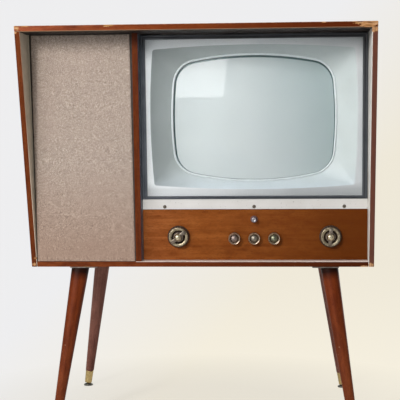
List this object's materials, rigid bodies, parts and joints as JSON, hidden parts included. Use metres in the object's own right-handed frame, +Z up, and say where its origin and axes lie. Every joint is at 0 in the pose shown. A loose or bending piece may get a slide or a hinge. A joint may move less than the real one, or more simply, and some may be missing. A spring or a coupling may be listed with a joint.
{
  "type": "tube television",
  "caption": "Floor-standing tube television: veneered cabinet with a forward-leaning front, side loudspeaker grille, rotary controls and splayed tapered legs.",
  "frame": {"origin": "on the floor, at the bottom centre of the bounding box", "axes": "+Z up; the screen faces -Y; +X to the right as seen from the front"},
  "size_m": [0.819, 0.5978, 0.933],
  "materials": {
    "veneer": "satin stained veneer, worn at the edges",
    "leg_lacquer": "satin red-brown lacquer",
    "plywood": "raw plywood",
    "hardboard": "raw hardboard",
    "grille_cloth": "coarse woven loudspeaker cloth",
    "cream_paint": "cream enamel",
    "mask_paint": "satin silver-grey enamel",
    "clear_glass": "clear plate glass",
    "tube_glass": "grey-green phosphor behind glass",
    "black_rubber": "matt",
    "brass": "aged, satin",
    "chrome": "polished",
    "copper_winding": "enamelled copper wire",
    "bakelite": "dark brown moulding",
    "steel": "zinc-plated sheet",
    "dark_metal": "blackened",
    "tinplate": "tin-plated sheet",
    "aluminium": "drawn can",
    "cone_paper": "felted paper"
  },
  "bodies": {
    "cabinet": {"top_panel": "veneer", "bottom_panel": "veneer", "left_side_panel": "veneer", "right_side_panel": "veneer", "divider_panel": "veneer", "control_panel": "veneer", "front_left_leg": "leg_lacquer", "front_right_leg": "leg_lacquer", "rear_left_leg": "leg_lacquer", "rear_right_leg": "leg_lacquer", "speaker_baffle": "plywood", "rear_cover": "hardboard", "grille_cloth": "grille_cloth", "retainer_strip": "cream_paint", "picture_mask": "mask_paint", "safety_glass": "clear_glass", "picture_tube": "tube_glass", "sound_output_valve": "tube_glass", "video_output_valve": "tube_glass", "frame_output_valve": "tube_glass", "glass_gasket": "black_rubber", "mains_inlet": "black_rubber", "front_left_ferrule": "brass", "front_right_ferrule": "brass", "rear_left_ferrule": "brass", "rear_right_ferrule": "brass", "deflection_yoke": "copper_winding", "neck_cup": "bakelite", "tube_socket": "bakelite", "speaker_basket": "steel", "speaker_magnet": "steel", "control_bracket": "steel", "tube_band": "steel", "front_left_leg_plate": "steel", "front_right_leg_plate": "steel", "rear_left_leg_plate": "steel", "rear_right_leg_plate": "steel", "strip_screw_left": "dark_metal", "strip_screw_middle": "dark_metal", "strip_screw_right": "dark_metal", "mains_transformer": "dark_metal", "chassis": "tinplate", "line_output_cage": "tinplate", "tuner_box": "tinplate", "aerial_socket": "tinplate", "smoothing_capacitor": "aluminium"},
    "channel_selector": {"channel_knob": "brass", "turret_drum": "tinplate"},
    "fine_tuning": {"fine_tuning_ring": "brass"},
    "volume": {"volume_knob": "brass"},
    "tone": {"tone_ring": "brass"},
    "contrast": {"contrast_knob": "brass"},
    "brightness": {"brightness_knob": "brass"},
    "vertical_hold": {"vertical_hold_knob": "brass"},
    "mains_button": {"push_button": "chrome"},
    "cone": {"speaker_cone": "cone_paper"},
    "front_left_foot": {"front_left_glide": "dark_metal"},
    "front_right_foot": {"front_right_glide": "dark_metal"},
    "rear_left_foot": {"rear_left_glide": "dark_metal"},
    "rear_right_foot": {"rear_right_glide": "dark_metal"}
  },
  "joints": [
    {"name": "channel_turn", "type": "hinge", "parent": "cabinet", "child": "channel_selector", "pos_m": [-0.0505, -0.15746, 0.44362], "axis": [0, 0.9969, 0.0785], "continuous": true},
    {"name": "fine_tuning_turn", "type": "hinge", "parent": "cabinet", "child": "fine_tuning", "pos_m": [-0.0505, -0.15746, 0.44362], "axis": [0, 0.9969, 0.0785], "range_deg": [-120, 120]},
    {"name": "volume_turn", "type": "hinge", "parent": "cabinet", "child": "volume", "pos_m": [0.3095, -0.15746, 0.44362], "axis": [0, 0.9969, 0.0785], "range_deg": [-140, 140]},
    {"name": "tone_turn", "type": "hinge", "parent": "cabinet", "child": "tone", "pos_m": [0.3095, -0.15746, 0.44362], "axis": [0, 0.9969, 0.0785], "range_deg": [-120, 120]},
    {"name": "contrast_turn", "type": "hinge", "parent": "cabinet", "child": "contrast", "pos_m": [0.0825, -0.15716, 0.43984], "axis": [0, 0.9969, 0.0785], "range_deg": [-140, 140]},
    {"name": "brightness_turn", "type": "hinge", "parent": "cabinet", "child": "brightness", "pos_m": [0.1295, -0.15716, 0.43984], "axis": [0, 0.9969, 0.0785], "range_deg": [-140, 140]},
    {"name": "vertical_hold_turn", "type": "hinge", "parent": "cabinet", "child": "vertical_hold", "pos_m": [0.1765, -0.15716, 0.43984], "axis": [0, 0.9969, 0.0785], "range_deg": [-140, 140]},
    {"name": "mains_button_press", "type": "slide", "parent": "cabinet", "child": "mains_button", "axis": [0, 0.9969, 0.0785], "range_m": [0, 0.003], "stiffness_N_per_m": 400, "springref_m": -0.002},
    {"name": "cone_travel", "type": "slide", "parent": "cabinet", "child": "cone", "axis": [0, 0.9976, 0.0693], "range_m": [-0.0015, 0.0015], "stiffness_N_per_m": 2500},
    {"name": "front_left_foot_tilt", "type": "hinge", "parent": "cabinet", "child": "front_left_foot", "pos_m": [-0.33916, -0.21226, 0.0125], "axis": [-0.687, 0.7266, 0], "range_deg": [-8, 8]},
    {"name": "front_right_foot_tilt", "type": "hinge", "parent": "cabinet", "child": "front_right_foot", "pos_m": [0.35916, -0.21226, 0.0125], "axis": [-0.687, -0.7266, 0], "range_deg": [-8, 8]},
    {"name": "rear_left_foot_tilt", "type": "hinge", "parent": "cabinet", "child": "rear_left_foot", "pos_m": [-0.33916, 0.24455, 0.0125], "axis": [0.6203, 0.7843, 0], "range_deg": [-8, 8]},
    {"name": "rear_right_foot_tilt", "type": "hinge", "parent": "cabinet", "child": "rear_right_foot", "pos_m": [0.35916, 0.24455, 0.0125], "axis": [0.6203, -0.7843, 0], "range_deg": [-8, 8]}
  ]
}
